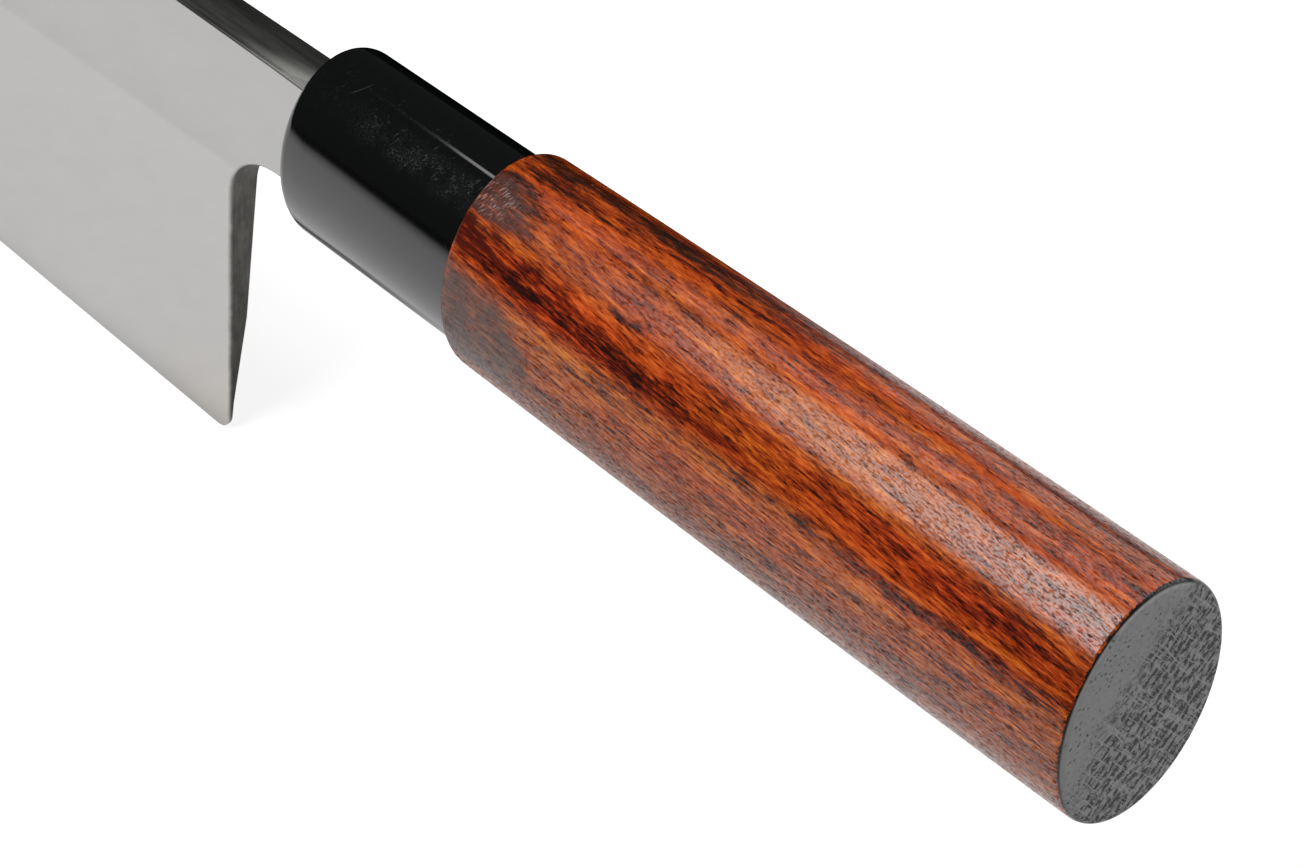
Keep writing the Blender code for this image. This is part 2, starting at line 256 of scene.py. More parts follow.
def grip_size(x):
    width, height = ferrule_size(GRIP_X)
    t = (GRIP_X - x) / (GRIP_X - BUTT_X)
    swell = 2 * GRIP_SWELL * 4 * t * (1 - t)
    width += 2 * GRIP_STEP_SIDE + 2 * GRIP_FLARE_SIDE * t + swell
    height += 2 * GRIP_STEP_ENDS + 2 * GRIP_FLARE_ENDS * t + swell
    return width, height


def inset(size, by):
    """Width and height with the same amount taken off all round."""
    width, height = size
    return width - 2 * by, height - 2 * by


def rim(radius, steps):
    """Setback and inset along a quarter round, from the side to the end."""
    for i in range(steps + 1):
        a = math.pi / 2 * i / steps
        yield radius * (1 - math.sin(a)), radius * (1 - math.cos(a))


def draw_oval(name, stations):
    """Pull an oval ring through stations of x, width and height, and close both ends."""
    x, width, height = stations[0]
    bpy.ops.mesh.primitive_circle_add(
        vertices=RING, radius=0.5, fill_type="NGON", location=(x, HANDLE_Y, 0),
        rotation=(0, math.pi / 2, 0))
    obj = named(name)
    settle(obj)
    edit_all(obj)
    middle = (x, HANDLE_Y, 0)
    bpy.ops.transform.resize(value=(1, width, height), center_override=middle)
    for next_x, next_width, next_height in stations[1:]:
        pull_out(next_x - x, 0)
        middle = (next_x, HANDLE_Y, 0)
        bpy.ops.transform.resize(
            value=(1, next_width / width, next_height / height), center_override=middle)
        x, width, height = next_x, next_width, next_height
    end_outward()
    return obj


def make_slot(name, back, front):
    """Four-sided guide through two sections, each given as x and its four corners."""
    bpy.ops.mesh.primitive_cube_add(size=1, location=(0, 0, 0))
    guide = named(name)
    for vertex in guide.data.vertices:
        x, corners = front if vertex.co.x > 0 else back
        left, right, low, high = corners
        vertex.co = (x, left if vertex.co.y > 0 else right, high if vertex.co.z > 0 else low)
    return guide


def neck_corners(x, spread):
    """Left, right, low and high limits of neck or tang at x, grown by a clearance."""
    thinner = TANG_SLOPE * max(0.0, FERRULE_X - x)
    low, high = NECK_Z, SPINE_Z
    if x < TANG_STEP_X:
        share = min(1.0, (TANG_STEP_X - x) / (TANG_STEP_X - FERRULE_X + TANG_LENGTH))
        full = NECK_HEIGHT - 2 * TANG_SHOULDER
        half = (full + (TANG_END_HEIGHT - full) * share) / 2
        low, high = TANG_MIDDLE_Z - half, TANG_MIDDLE_Z + half
    right = -SPINE_THICK + thinner
    return spread - thinner, right - spread, low - spread, high + spread


def make_ferrule():
    stations = []
    front = FERRULE_X - FERRULE_SHORT
    straight = front - FERRULE_ROUND - STEP_X
    for i in range(FERRULE_RINGS):
        x = STEP_X + straight * i / FERRULE_RINGS
        stations.append((x, *ferrule_size(x)))
    for setback, narrower in rim(FERRULE_ROUND, steps=8):
        x = front - setback
        stations.append((x, *inset(ferrule_size(x), narrower)))
    ferrule = draw_oval("ferrule_polished", stations)
    hollow = inset(ferrule_size(FERRULE_X), FERRULE_WALL)
    cavity = FERRULE_X - FERRULE_FRONT_WALL
    socket = draw_oval("socket_guide", [(STEP_X - FERRULE_WALL, *hollow), (cavity, *hollow)])
    corners = neck_corners(FERRULE_X, MOUTH_CLEARANCE)
    mouth = make_slot(
        "mouth_guide", (cavity - FERRULE_WALL, corners), (FERRULE_X + FERRULE_WALL, corners))
    carve(ferrule, socket)
    carve(ferrule, mouth)
    ferrule.location.z = -FERRULE_DROP
    settle(ferrule)
    smooth(ferrule, 32)
    return ferrule


def end_stations(from_setback, to_setback, steps):
    """Sections of the rounded butt end between two distances from its flat face."""
    start = math.acos(max(0.0, 1 - from_setback / SEAL_ROUND))
    end = math.acos(max(0.0, 1 - to_setback / SEAL_ROUND))
    for i in range(steps + 1):
        a = start + (end - start) * i / steps
        x = BUTT_X + SEAL_ROUND * (1 - math.cos(a))
        yield x, *inset(grip_size(x), SEAL_ROUND * (1 - math.sin(a)))


def make_grip():
    stations = list(end_stations(PAINT_X - BUTT_X, SEAL_ROUND, steps=4))
    first = BUTT_X + SEAL_ROUND
    straight = STEP_X - GRIP_ROUND - first
    for i in range(1, GRIP_RINGS):
        x = first + straight * i / GRIP_RINGS
        stations.append((x, *grip_size(x)))
    for setback, narrower in rim(GRIP_ROUND, steps=6):
        x = STEP_X - setback
        stations.append((x, *inset(grip_size(x), narrower)))
    tenon = inset(inset(ferrule_size(FERRULE_X), FERRULE_WALL), GAP)
    stations.append((STEP_X, *tenon))
    stations.append((TENON_X, *tenon))
    grip = draw_oval("grip_rosewood", stations)
    bore = make_slot(
        "bore_guide", (TANG_END_X - BORE_CLEARANCE, neck_corners(TANG_END_X, BORE_CLEARANCE)),
        (TENON_X + GAP, neck_corners(TENON_X, BORE_CLEARANCE)))
    carve(grip, bore)
    smooth(grip, 40)
    return grip


def make_seal():
    """Painted end: a plain skirt of paint over the wood's corner and a flat face."""
    seal = draw_oval("end_paint", list(end_stations(PAINT_X - BUTT_X, 0.0, steps=8)))
    smooth(seal, 40)
    return seal


# Blade

def xz(x, z):
    """Point or step in the plane of the blade's flat back."""
    return Vector((x, 0, z))


def edge_line():
    """Cutting edge in x and z: its straight run, and the handles of its belly."""
    heel = xz(HEEL_X + HEEL_LEAN * (HEEL_HEIGHT - NECK_HEIGHT), EDGE_HEEL_Z)
    bend = heel + xz(EDGE_STRAIGHT, EDGE_SLOPE * EDGE_STRAIGHT)
    tip = xz(TIP_X, TIP_Z)
    reach = tip - bend
    pull_bend = bend + xz(BELLY_PULL * reach.x, EDGE_SLOPE * BELLY_PULL * reach.x)
    pull_tip = tip - xz(BELLY_TIP_PULL[0] * reach.x, BELLY_TIP_PULL[1] * reach.z)
    return heel, bend, pull_bend, pull_tip, tip


def draw_curve(name, points, cyclic, resolution):
    """Bezier line through points, each with its handle before and after, made a mesh."""
    bpy.ops.object.select_all(action="DESELECT")
    bpy.ops.curve.primitive_bezier_curve_add(location=(0, 0, 0))
    line = named(name)
    line.data.dimensions = "3D"
    line.data.resolution_u = resolution
    spline = line.data.splines[0]
    spline.bezier_points.add(len(points) - 2)
    spline.use_cyclic_u = cyclic
    for point, (before, at, after) in zip(spline.bezier_points, points):
        point.handle_left_type = "FREE"
        point.handle_right_type = "FREE"
        point.co = at
        point.handle_left = before
        point.handle_right = after
    bpy.ops.object.convert(target="MESH")
    return bpy.context.object


def straight_handles(corners, index):
    """Handles on the straight lines to the corners before and after."""
    at = corners[index]
    before = corners[index - 1]
    after = corners[(index + 1) % len(corners)]
    return at.lerp(before, 1 / 3), at, at.lerp(after, 1 / 3)


def crease_z(x):
    return SPINE_Z - CREASE_DROP - CREASE_SLOPE * (x - HEEL_X)


def back_y(x, z):
    return -BACK_LEAN * max(0.0, crease_z(x) - z)


def right_face_y(x, z):
    return -SPINE_THICK + FACE_TAPER * (SPINE_Z - z) + LENGTH_TAPER * (x - FERRULE_X)


def grind(obj, point, normal):
    """Take away all that lies on the normal's side of a plane, and close the cut."""
    edit_all(obj)
    bpy.ops.mesh.bisect(
        plane_co=point, plane_no=normal, use_fill=True, clear_outer=True, threshold=1e-7)
    end_edit()


def near(a, b, reach):
    return (a - b).length < reach


def make_blade():
    heel, bend, pull_bend, pull_tip, tip = edge_line()
    spine_end = xz(HEEL_X + SPINE_STRAIGHT, SPINE_Z)
    reach = TIP_X - spine_end.x
    choil = xz(HEEL_X, NECK_Z - NECK_FALL)
    corners = [
        xz(TANG_STEP_X, SPINE_Z), spine_end, tip, bend, heel, choil, xz(FERRULE_X, NECK_Z),
        xz(TANG_STEP_X, NECK_Z), xz(TANG_STEP_X, NECK_Z + TANG_SHOULDER),
        xz(TANG_END_X, TANG_MIDDLE_Z - TANG_END_HEIGHT / 2),
        xz(TANG_END_X, TANG_MIDDLE_Z + TANG_END_HEIGHT / 2),
        xz(TANG_STEP_X, SPINE_Z - TANG_SHOULDER)]
    points = [straight_handles(corners, i) for i in range(len(corners))]
    points[1] = (points[1][0], spine_end, spine_end + xz(SPINE_PULL * reach, 0))
    pull_down = tip + xz(-SPINE_TIP_PULL[0] * reach, SPINE_TIP_PULL[1] * TIP_DROP)
    points[2] = (pull_down, tip, pull_tip)
    points[3] = (pull_bend, bend, points[3][2])
    blade = draw_curve("blade_steel", points, cyclic=True, resolution=40)
    edit_all(blade)
    bpy.ops.mesh.dissolve_limited(angle_limit=math.radians(0.02))
    select_all()
    bpy.ops.mesh.edge_face_add()
    choose(blade, lambda at: near(at, heel, 0.1 * MM))
    turn = math.pi - (bend - heel).angle(choil - heel)
    setback = HEEL_TIP_RADIUS * math.tan(turn / 2)
    bpy.ops.mesh.bevel(offset=setback, offset_type="OFFSET", segments=12, affect="VERTICES")
    choose(blade, lambda at: near(at, choil, 0.1 * MM))
    bpy.ops.mesh.bevel(offset=CHOIL_RADIUS, offset_type="OFFSET", segments=20, affect="VERTICES")
    select_all()
    pull_out(0, -SPINE_THICK)
    end_outward()
    shoulder = Vector((FERRULE_X, -SPINE_THICK, SPINE_Z))
    grind(blade, shoulder, (LENGTH_TAPER, -1.0, -FACE_TAPER))
    grind(blade, (HEEL_X, 0, crease_z(HEEL_X)), (-CREASE_SLOPE * BACK_LEAN, 1.0, -BACK_LEAN))
    grind(blade, (FERRULE_X, 0, 0), (-TANG_SLOPE, 1.0, 0))
    grind(blade, shoulder, (-TANG_SLOPE, -1.0, -FACE_TAPER))
    for facet in NECK_FACETS:
        start = xz(FERRULE_X + facet.x, SPINE_Z)
        across = Vector((FERRULE_X, -facet.y, SPINE_Z)) - start
        down = xz(FERRULE_X, SPINE_Z - facet.z) - start
        grind(blade, start, down.cross(across).normalized())
    carve(blade, make_bevel_guide())
    soften_blade(blade)
    smooth(blade, 12)
    return blade


def soften_blade(blade):
    """Ease the long edges of spine, heel, choil and neck; the cutting edge stays sharp."""
    def long_edge(edge, top, left):
        flats = [f for f in edge.link_faces if abs(f.normal.y) > 0.9]
        rims = [f for f in edge.link_faces if abs(f.normal.y) < 0.5]
        if len(flats) != 1 or len(rims) != 1 or (flats[0].normal.y > 0) != left:
            return False
        ends = [v.co for v in edge.verts]
        if min(p.x for p in ends) < FERRULE_X - 0.1 * MM or max(p.x for p in ends) > EASE_END:
            return False
        if top or rims[0].normal.z > 0.3:
            return top and rims[0].normal.z > 0.3
        return max(p.x for p in ends) < EASE_HEEL_END and min(p.z for p in ends) > CHIN_Z

    for top, left, offset in (
            (True, True, EASE_SPINE), (True, False, EASE_SPINE),
            (False, True, EASE_HEEL), (False, False, EASE_SPINE)):
        start_edit(blade)
        bpy.ops.mesh.select_mode(type="EDGE")
        select_all("DESELECT")
        shape = bmesh.from_edit_mesh(blade.data)
        for edge in shape.edges:
            edge.select_set(long_edge(edge, top, left))
        bmesh.update_edit_mesh(blade.data)
        bpy.ops.mesh.bevel(
            offset=offset, segments=5, profile=0.5, affect="EDGES", clamp_overlap=False)
        end_edit()


def make_bevel_guide():
    """Ruled solid on the right of the ground bevel, along the whole edge."""
    heel, bend, pull_bend, pull_tip, tip = edge_line()
    start = heel - (bend - heel).normalized() * GUIDE_REACH
    end = tip + (tip - pull_tip).normalized() * GUIDE_REACH
    points = [
        (start, start, start.lerp(bend, 1 / 3)),
        (bend.lerp(start, 1 / 3), bend, pull_bend),
        (pull_tip, tip, tip.lerp(end, 1 / 3)),
        (end.lerp(tip, 1 / 3), end, end)]
    guide = draw_curve("bevel_guide", points, cyclic=False, resolution=24)
    edit_all(guide)
    pull_out(0, -MM)
    end_edit()
    mesh = guide.data
    half = len(mesh.vertices) // 2
    line = [mesh.vertices[i].co.copy() for i in range(half)]
    for i, p in enumerate(line):
        a, b = line[max(0, i - 1)], line[min(half - 1, i + 1)]
        along = (b - a).normalized()
        inward = xz(-along.z, along.x)
        share = max(0.0, min(1.0, (p.x - heel.x) / (TIP_X - heel.x)))
        height = BEVEL_HEIGHT + (BEVEL_HEIGHT_TIP - BEVEL_HEIGHT) * share
        top = p + inward * height
        y_edge = back_y(p.x, p.z) - EDGE_THICK
        slope = (right_face_y(top.x, top.z) - y_edge) / height
        low = p - inward * GUIDE_UNDER
        mesh.vertices[i].co = (low.x, y_edge - slope * GUIDE_UNDER, low.z)
        high = top + inward * GUIDE_OVER
        mesh.vertices[half + i].co = (high.x, y_edge + slope * (height + GUIDE_OVER), high.z)
    edit_all(guide)
    pull_out(0, -GUIDE_REACH)
    end_outward()
    return guide


# Node helpers

def plug(socket, value):
    """Join another node's output to a socket, or set the socket's own value."""
    if isinstance(value, bpy.types.NodeSocket):
        socket.id_data.links.new(value, socket)
    elif isinstance(value, tuple) and socket.type == "RGBA":
        socket.default_value = (*value, 1.0)
    else:
        socket.default_value = value


def tree_of(values):
    """Node tree of the first socket among the values."""
    return next(value.id_data for value in values if isinstance(value, bpy.types.NodeSocket))


def add(kind, sockets, **settings):
    """New node beside the ones it is joined to."""
    node = tree_of(sockets.values()).nodes.new("ShaderNode" + kind)
    for key, value in settings.items():
        setattr(node, key, value)
    for key, value in sockets.items():
        plug(node.inputs[key], value)
    return node


def calc(operation, a, b=0.0, c=0.0, clamp=False):
    node = add("Math", {0: a, 1: b, 2: c}, operation=operation, use_clamp=clamp)
    return node.outputs[0]


def plus(a, b):
    return calc("ADD", a, b)


def minus(a, b):
    return calc("SUBTRACT", a, b)


def more(base, value, weight, clamp=False):
    """The base plus the value times its weight."""
    return calc("MULTIPLY_ADD", value, weight, base, clamp)


def times(product, *others):
    """Product of two or more values."""
    for other in others:
        product = calc("MULTIPLY", product, other)
    return product


def less(value, mask, share):
    """The value with this share of it taken away where the mask is 1."""
    return times(value, more(1.0, mask, -share))


def between(a, b, share):
    """Value a where the share is 0 and b where it is 1."""
    rest = minus(1.0, share)
    return plus(times(a, rest), times(b, share))


def centred(noise):
    """Noise moved down so that its middle is at 0."""
    return minus(noise, 0.5)


def length_of(a, b):
    """Length of the slanting side over two square ones."""
    return calc("SQRT", plus(times(a, a), times(b, b)))


def combine(operation, a, b):
    """Vector sum, product or other operation on two vectors."""
    node = add("VectorMath", {0: a, 1: b}, operation=operation)
    return node.outputs["Value" if operation in ("DOT_PRODUCT", "LENGTH") else "Vector"]


def triple(a, b, c):
    """Three values as one vector or colour."""
    return add("CombineXYZ", {0: a, 1: b, 2: c}).outputs[0]


def swing(vector, axis, angle):
    """The vector turned round an axis."""
    node = add("VectorRotate", {"Vector": vector, "Axis": axis, "Angle": angle},
               rotation_type="AXIS_ANGLE")
    return node.outputs[0]


def fade(value, start, end, low=0.0, high=1.0):
    """Soft step from low at start to high at end; start may lie above end."""
    node = add("MapRange", {
        "Value": value, "From Min": start, "From Max": end, "To Min": low, "To Max": high},
        interpolation_type="SMOOTHSTEP")
    return node.outputs["Result"]


def noise_of(vector, scale=1.0, detail=2.0, roughness=0.5, distortion=0.0):
    node = add("TexNoise", {
        "Vector": vector, "Scale": scale, "Detail": detail, "Roughness": roughness,
        "Distortion": distortion})
    return node.outputs["Fac"]


def blend(factor, a, b, mode="MIX"):
    """Colour a where factor is 0 and b where it is 1."""
    node = add("Mix", {0: factor, 6: a, 7: b}, data_type="RGBA", blend_type=mode)
    return node.outputs[2]


def ramp(factor, stops):
    node = add("ValToRGB", {"Fac": factor})
    points = node.color_ramp.elements
    for i, (place, colour) in enumerate(stops):
        point = points[i] if i < 2 else points.new(place)
        point.position = place
        point.color = (*colour, 1.0)
    return node.outputs["Color"]


def new_material(name, **values):
    material = bpy.data.materials.new(name)
    material.use_nodes = True
    shader = material.node_tree.nodes["Principled BSDF"]
    for key, value in values.items():
        plug(shader.inputs[key.replace("_", " ")], value)
    return material, shader


def place_mm(shader):
    """Place on the object, in millimetres, with its three parts."""
    coord = shader.id_data.nodes.new("ShaderNodeTexCoord")
    place = combine("MULTIPLY", coord.outputs["Object"], (1 / MM, 1 / MM, 1 / MM))
    parts = add("SeparateXYZ", {0: place})
    return place, parts.outputs[0], parts.outputs[1], parts.outputs[2]


def cover(shader, colour, rough):
    plug(shader.inputs["Base Color"], colour)
    plug(shader.inputs["Roughness"], rough)


def relief(shader, height, depth_mm):
    bump = add("Bump", {"Height": height, "Distance": depth_mm * MM, "Strength": 1.0})
    plug(shader.inputs["Normal"], bump.outputs["Normal"])


# Shared effects

def begin_group(name, output, **inputs):
    """New node group; its inputs are numbers or vectors, as their defaults are."""
    tree = bpy.data.node_groups.new(name, "ShaderNodeTree")
    for label, value in inputs.items():
        kind = "NodeSocketVector" if isinstance(value, tuple) else "NodeSocketFloat"
        socket = tree.interface.new_socket(name=label, in_out="INPUT", socket_type=kind)
        socket.default_value = value
    tree.interface.new_socket(name=output, in_out="OUTPUT", socket_type="NodeSocketFloat")
    entry = tree.nodes.new("NodeGroupInput")
    leave = tree.nodes.new("NodeGroupOutput")
    return tree, entry.outputs, leave.inputs[0]


def use(group, **sockets):
    node = tree_of(sockets.values()).nodes.new("ShaderNodeGroup")
    node.node_tree = group
    for key, value in sockets.items():
        plug(node.inputs[key], value)
    return node.outputs[0]


ORIGIN = (0.0, 0.0, 0.0)
ALONG_X = (1.0, 0.0, 0.0)
ALONG_Y = (0.0, 1.0, 0.0)
ALONG_Z = (0.0, 0.0, 1.0)


def make_grain_group():
    """Noise drawn out along x: lengths along and across in millimetres."""
    tree, given, result = begin_group(
        "drawn_grain", "Value", Vector=ORIGIN, Along=10.0, Across=1.0, Deep=1.0, Seed=0.0)
    sizes = triple(given["Along"], given["Across"], given["Deep"])
    shrunk = combine("DIVIDE", given["Vector"], sizes)
    node = add("TexNoise", {
        "Vector": shrunk, "W": given["Seed"], "Scale": 1.0, "Detail": 3.0, "Roughness": 0.6,
        "Distortion": 0.08}, noise_dimensions="4D")
    plug(result, node.outputs["Fac"])
    return tree


def make_speck_group():
    """Small round spots, one at most per cell, in a share of the cells."""
    tree, given, result = begin_group(
        "specks", "Mask", Vector=ORIGIN, Spacing=1.0, Radius=0.1, Share=0.5)
    scale = calc("DIVIDE", 1.0, given["Spacing"])
    cells = add("TexVoronoi", {"Vector": given["Vector"], "Scale": scale, "Randomness": 1.0})
    reach = times(cells.outputs["Distance"], given["Spacing"])
    spot = fade(reach, given["Radius"], times(given["Radius"], 0.4))
    tint = add("SeparateXYZ", {0: cells.outputs["Color"]})
    chosen = calc("LESS_THAN", tint.outputs[0], given["Share"])
    varied = more(0.3, tint.outputs[1], 0.7)
    plug(result, times(spot, chosen, varied))
    return tree


def make_scratch_group():
    """Straight hairlines across x, broken up along their length."""
    tree, given, result = begin_group(
        "hairlines", "Mask", Vector=ORIGIN, Turn=0.0, Axis=ALONG_Y, Spacing=1.0, Length=10.0,
        Share=0.3)
    swung = swing(given["Vector"], given["Axis"], given["Turn"])
    sizes = triple(given["Spacing"], given["Length"], given["Length"])
    lines = noise_of(combine("DIVIDE", swung, sizes), 1.0, 2.0, 0.7)
    threshold = more(0.78, given["Share"], -0.3)
    plug(result, fade(lines, threshold, plus(threshold, 0.05)))
    return tree


def make_stain_group():
    """Soft oval mark on the handle, placed along it and round it."""
    tree, given, result = begin_group(
        "stain", "Mask", Along=0.0, Round=0.0, At=0.0, Turned=0.0, Length=5.0, Width=5.0,
        Strength=0.5)
    ahead = minus(given["Along"], given["At"])
    beside = minus(given["Round"], given["Turned"])
    reach = length_of(calc("DIVIDE", ahead, given["Length"]),
                      calc("DIVIDE", beside, given["Width"]))
    plug(result, times(fade(reach, 1.0, 0.25), given["Strength"]))
    return tree


GRAIN = make_grain_group()
SPECKS = make_speck_group()
HAIRLINES = make_scratch_group()
STAIN = make_stain_group()


def grain(vector, along, across, deep, seed):
    return use(GRAIN, Vector=vector, Along=along, Across=across, Deep=deep, Seed=seed)


def specks(vector, spacing, radius, share):
    return use(SPECKS, Vector=vector, Spacing=spacing, Radius=radius, Share=share)


def stain(spot, at, turned, length, width, strength=1.0):
    """Soft mark; spot is the place along the handle and the angle round it."""
    return use(STAIN, Along=spot[0], Round=spot[1], At=at, Turned=turned, Length=length,
               Width=width, Strength=strength)


# Width of the handle's oval section over its height
OVAL_SHAPE = 0.79


def handle_angle(y, z):
    """Angle round the oval section in degrees: 0 on the left side, 90 on top."""
    across = minus(y, HANDLE_Y / MM)
    upward = times(z, OVAL_SHAPE)
    return calc("DEGREES", calc("ARCTAN2", upward, across))


# Wood

# Direction across the growth layers, read off the butt
LAYERS_Y = 0.79
LAYERS_Z = 0.62
LAYERS_TILT = math.atan2(LAYERS_Z, LAYERS_Y)

# Slant of the grain to the handle, and axis and angle by which the turning marks are askew
GRAIN_SLANT = math.radians(5)
TURNING_AXIS = (0.0, 0.6, 0.8)
TURNING_SLANT = math.radians(24)

WOOD_TONES = (
    (0.00, (0.71, 0.165, 0.018)),
    (0.22, (0.52, 0.096, 0.008)),
    (0.42, (0.36, 0.054, 0.004)),
    (0.60, (0.20, 0.026, 0.003)),
    (0.80, (0.078, 0.0098, 0.0020)),
    (1.00, (0.020, 0.0055, 0.0025)))

# Patches at the front of the wood: place along x in mm, angle round in degrees, reach
# along, reach round, and strength where it is less than 1
PLAIN_PATCH = (-92.0, 0.0, 17.0, 36.0)
DULL_PATCH = (-92.0, 67.0, 8.5, 17.0)
RED_PATCH = (-92.5, 43.0, 6.0, 12.0)
TURNED_PATCH = (-91.5, 66.0, 6.0, 15.0, 0.65)
PLAIN_BROWN = (0.078, 0.037, 0.030)
DULL_BROWN = (0.085, 0.032, 0.025)
DARK_RED = (0.070, 0.007, 0.003)
PALE_GRIT = (0.55, 0.42, 0.33)
# Painted glint of the turning marks behind the ferrule
PAINTED_TURNING_GLINT = (0.38, 0.30, 0.28)
CREPT_PAINT = (0.010, 0.010, 0.009)

# Marks seen on the wood: place along x in mm, angle round in degrees, reach along, reach
# round, and how much darker (or, below zero, lighter) the wood is there
WOOD_MARKS = (
    (-98.0, 111.0, 50.0, 11.0, 0.46),
    (-160.0, 118.0, 60.0, 13.0, 0.26),
    (-162.0, 101.0, 40.0, 4.0, 0.14),
    (-118.0, 97.0, 22.0, 2.6, 0.30),
    (-98.0, 92.5, 12.0, 4.0, 0.42),
    (-172.0, 87.0, 34.0, 6.0, 0.10),
    (-116.0, 75.0, 12.0, 5.0, 0.24),
    (-132.0, 75.0, 24.0, 4.5, 0.12),
    (-97.0, 101.0, 8.0, 8.0, 0.35),
    (-98.0, 28.0, 10.0, 6.0, 0.16),
    (-168.0, 9.0, 26.0, 5.5, 0.20),
    (-152.0, 94.5, 26.0, 4.0, -0.12),
    (-92.0, 68.0, 11.0, 19.0, 0.52),
    (-92.0, 47.0, 6.0, 9.0, 0.40),
    (-92.0, 80.0, 6.0, 7.0, 0.22),
    (-98.0, 44.0, 14.0, 14.0, 0.24),
    (-110.0, 36.5, 22.0, 8.0, 0.30),
    (-116.5, 51.5, 3.6, 4.2, 0.46),
    (-121.0, 57.0, 9.0, 3.5, 0.16),
    (-124.0, 33.0, 16.0, 5.0, 0.20),
    (-150.0, 39.5, 46.0, 8.5, 0.10),
    (-173.0, 38.0, 22.0, 12.0, 0.08),
    (-168.0, 23.0, 30.0, 5.6, 0.36),
    (-166.0, 28.6, 20.0, 1.5, -0.30),
    (-142.0, 15.5, 30.0, 4.2, -0.18),
    (-104.0, 22.0, 16.0, 5.0, -0.12),
    # The next two run along the whole handle, darker towards the underside
    (-130.0, 1.0, 80.0, 14.0, 0.08),
    (-130.0, -26.0, 80.0, 30.0, 0.18),
    (-178.0, 60.0, 16.0, 18.0, 0.14),
    (-144.0, 77.0, 24.0, 8.0, -0.10),
    (-112.0, 50.0, 16.0, 5.0, -0.12))


def wood_darkness(solid, angle, spot, cloud, fine, needles, pores):
    """How dark the wood is, 0 to 1: growth layers, grain, pores and its own marks."""
    broad = grain(solid, 46.0, 5.0, 1.5, 1.0)
    streak = grain(solid, 9.0, 1.2, 0.45, 7.0)
    contrast = fade(angle, 60.0, 48.0, 0.85, 1.3)
    dark = more(0.085, fade(broad, 0.28, 0.72), 0.26)
    dark = more(dark, times(needles, contrast), 0.17)
    # Lighter low on the side and darker over the top, all along the handle
    dark = plus(fade(angle, 46.0, 62.0, -0.040, -0.014), dark)
    dark = plus(fade(angle, 74.0, 92.0, 0.0, 0.10), dark)
    dark = more(dark, fade(streak, 0.30, 0.74), 0.28)
    dark = more(dark, centred(cloud), 0.45)
    marks = 0.0
    for mark in WOOD_MARKS:
        marks = plus(marks, stain(spot, *mark))
    dark = more(dark, marks, more(0.6, fade(cloud, 0.36, 0.66), 0.7))
    dark = more(dark, times(centred(fine), contrast), 1.62)
    crowded = more(0.24, fade(streak, 0.42, 0.60), 0.26)
    crowded = more(crowded, marks, 0.35)
    return more(dark, pores, crowded, clamp=True)


def wood_tint(solid, x, angle):
    """Yellower in patches and low on the side, redder between; and yellower where the key lamp's
    sheen falls, a painted tint of the sheen.
    """
    yellow = grain(solid, 30.0, 3.0, 1.6, 12.0)
    green = more(0.82, fade(yellow, 0.3, 0.7), 0.40)
    green = plus(fade(angle, 51.0, 44.0, 0.0, -0.24), green)
    green = plus(fade(angle, 34.0, 18.0, 0.0, 0.34), green)
    # Painted sheen: the wood is tinted yellower where the key lamp's sheen lies, for the warm
    # colour of that highlight
    sheen = times(fade(angle, 52.0, 61.0), fade(angle, 76.0, 68.0), fade(x, -104.0, -136.0))
    return triple(1.0, more(green, sheen, 0.27), 1.0)


def closed_grain(place, spot):
    """Low at the front, where the grain is closed and the wood plain brown."""
    mottled = noise_of(combine("MULTIPLY", place, (0.3, 0.7, 0.7)), 1.0, 3.0, 0.6)
    patch = stain(spot, *PLAIN_PATCH)
    return times(fade(patch, 0.0, 0.6), fade(mottled, 0.36, 0.54, 0.66, 0.94))


def colour_the_front(colour, spot, cloud, fine):
    """Behind the ferrule: dull brown on the upper left, dark red below it."""
    dull = stain(spot, *DULL_PATCH)
    dull = times(fade(dull, 0.0, 0.7), fade(fine, 0.40, 0.58, 0.45, 0.9))
    colour = blend(dull, colour, DULL_BROWN)
    red = stain(spot, *RED_PATCH)
    red = times(fade(red, 0.0, 0.7), fade(cloud, 0.36, 0.52, 0.5, 0.92))
    return blend(red, colour, DARK_RED)


def crept_paint(place, x, angle):
    """Sealing paint that crept a little way on to the wood."""
    creep = noise_of(combine("MULTIPLY", place, (0.2, 1.3, 1.3)), 1.0, 3.0, 0.65)
    front = more(PAINT_X / MM - 0.27, creep, 0.7)
    front = more(front, fade(angle, 62.0, 92.0), 0.25)
    return fade(minus(front, x), 0.0, 0.06)


def wood_oil(solid, x, angle, fine, turning, needles, pores, closed):
    """Oil lies on the wood between the pores; it is worn off the front rim."""
    oil = more(1.00, centred(fine), -1.0)
    oil = more(oil, centred(turning), -1.4)
    oil = more(oil, needles, -0.34)
    oil = more(oil, pores, -0.35)
    glint = grain(solid, 0.60, 0.175, 0.175, 21.0)
    glint = fade(glint, 0.40, 0.60, -1.0, 1.0)
    glint = times(glint, more(0.80, closed, -0.75))
    oil = calc("MULTIPLY", oil, plus(glint, 1.0), clamp=True)
    low_front = times(fade(angle, 33.0, 25.0), fade(x, -158.0, -126.0))
    worn = fade(x, STEP_X / MM - 0.8, STEP_X / MM - 0.1)
    return less(less(oil, low_front, 0.24), worn, 0.95)


